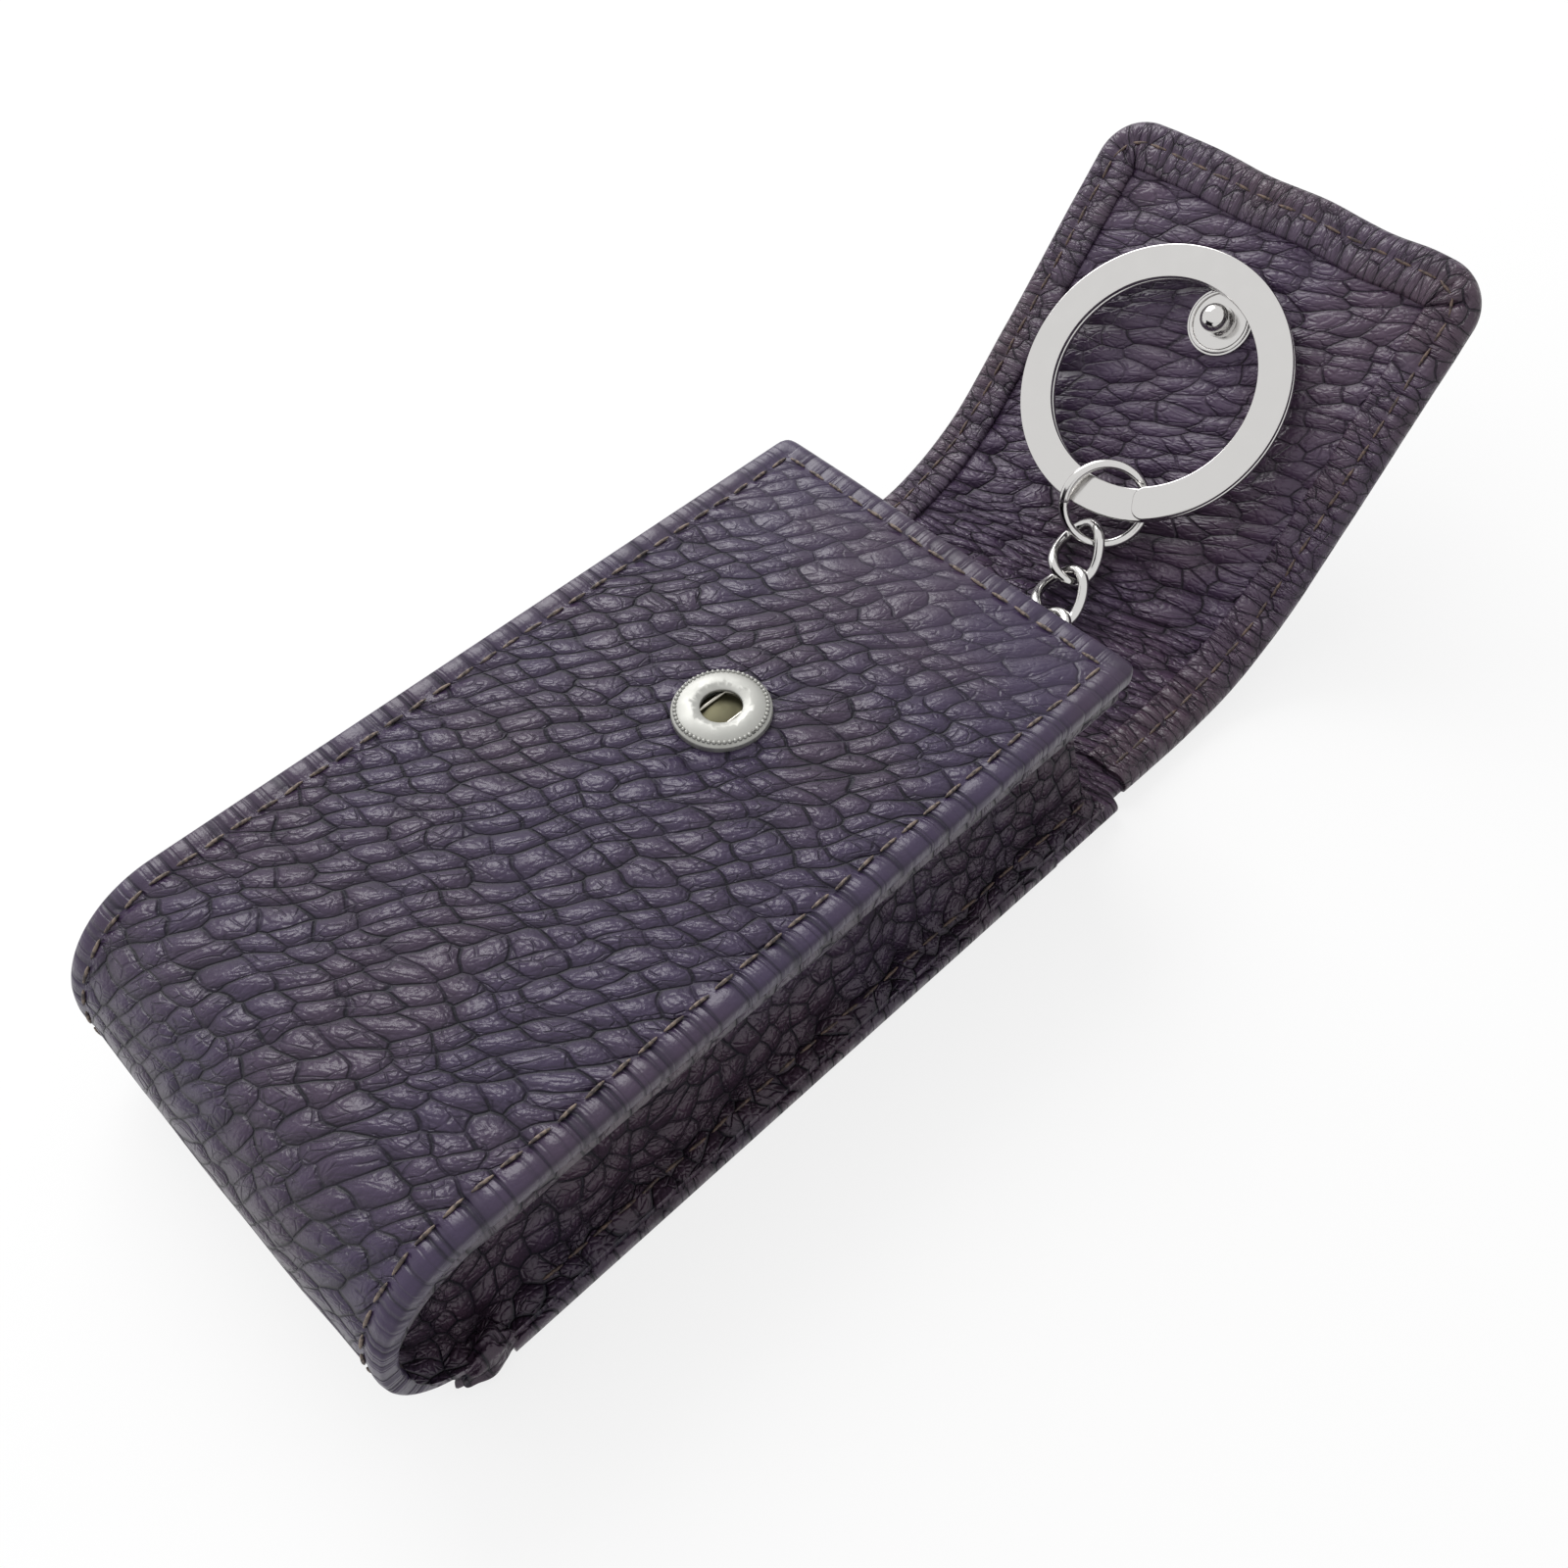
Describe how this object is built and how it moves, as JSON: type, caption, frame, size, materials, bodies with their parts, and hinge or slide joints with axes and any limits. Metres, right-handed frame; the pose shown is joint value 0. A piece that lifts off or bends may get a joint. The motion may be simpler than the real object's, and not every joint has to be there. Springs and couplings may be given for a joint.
{
  "type": "key case",
  "caption": "Leather key case: a flat pocket with folded side gussets, a curved fold-over flap with a snap, and a split ring on a short curb chain.",
  "frame": {"origin": "on the back panel's outer face, midway along the pocket's length and width", "axes": "+X across the width, +Y from the closed bottom to the mouth and on along the flap, +Z from the back panel up to the front panel"},
  "size_m": [0.058, 0.1675, 0.0424],
  "materials": {
    "leather": "pebbled, soft sheen",
    "lining": "smooth, matt",
    "nickel": "polished nickel plate",
    "spring_steel": "bare wire"
  },
  "bodies": {
    "case": {"front_panel": "leather", "front_lining": "lining", "back_panel": "leather", "back_lining": "lining", "gusset_left": "leather", "gusset_right": "leather", "snap_socket": "nickel", "socket_eyelet": "nickel", "socket_spring": "spring_steel"},
    "flap_root": {"flap_root_outer": "leather", "flap_root_lining": "leather", "root_hem_left": "leather", "root_hem_right": "leather", "anchor_tab": "leather"},
    "flap_tongue": {"flap_tongue_outer": "leather", "flap_tongue_lining": "leather", "flap_tongue_hem": "leather", "snap_stud": "nickel", "snap_cap": "nickel"},
    "link_3": {"chain_link_3": "nickel"},
    "link_2": {"chain_link_2": "nickel"},
    "link_1": {"chain_link_1": "nickel"},
    "jump": {"jump_ring": "nickel"},
    "ring": {"split_ring": "nickel"}
  },
  "joints": [
    {"name": "flap_fold_back", "type": "hinge", "parent": "case", "child": "flap_root", "pos_m": [0, 0.052, 0.0011], "axis": [1, 0, 0], "range_deg": [-20, 70]},
    {"name": "flap_fold_front", "type": "hinge", "parent": "flap_root", "child": "flap_tongue", "pos_m": [0, 0.07883, 0.00921], "axis": [1, 0, 0], "range_deg": [0, 57]},
    {"name": "link_3_rock", "type": "hinge", "parent": "flap_root", "child": "link_3", "pos_m": [0.0069, 0.05994, 0.00485], "axis": [-0.3127, 0.9473, -0.0691], "range_deg": [-8, 2]},
    {"name": "link_2_rock", "type": "hinge", "parent": "flap_root", "child": "link_2", "pos_m": [0.0045, 0.06721, 0.00432], "axis": [-0.3504, 0.9173, 0.1894], "range_deg": [-8, 8]},
    {"name": "link_1_rock", "type": "hinge", "parent": "flap_root", "child": "link_1", "pos_m": [0.0021, 0.0735, 0.00562], "axis": [-0.3504, 0.8521, 0.3888], "range_deg": [-8, 1]},
    {"name": "jump_ring_lift", "type": "hinge", "parent": "flap_tongue", "child": "jump", "pos_m": [-0.0003, 0.07933, 0.00828], "axis": [-1, 0, 0], "range_deg": [-15, 0]},
    {"name": "split_ring_lift", "type": "hinge", "parent": "jump", "child": "ring", "pos_m": [-0.0003, 0.08313, 0.01242], "axis": [-1, 0, 0], "range_deg": [-25, 0]}
  ]
}
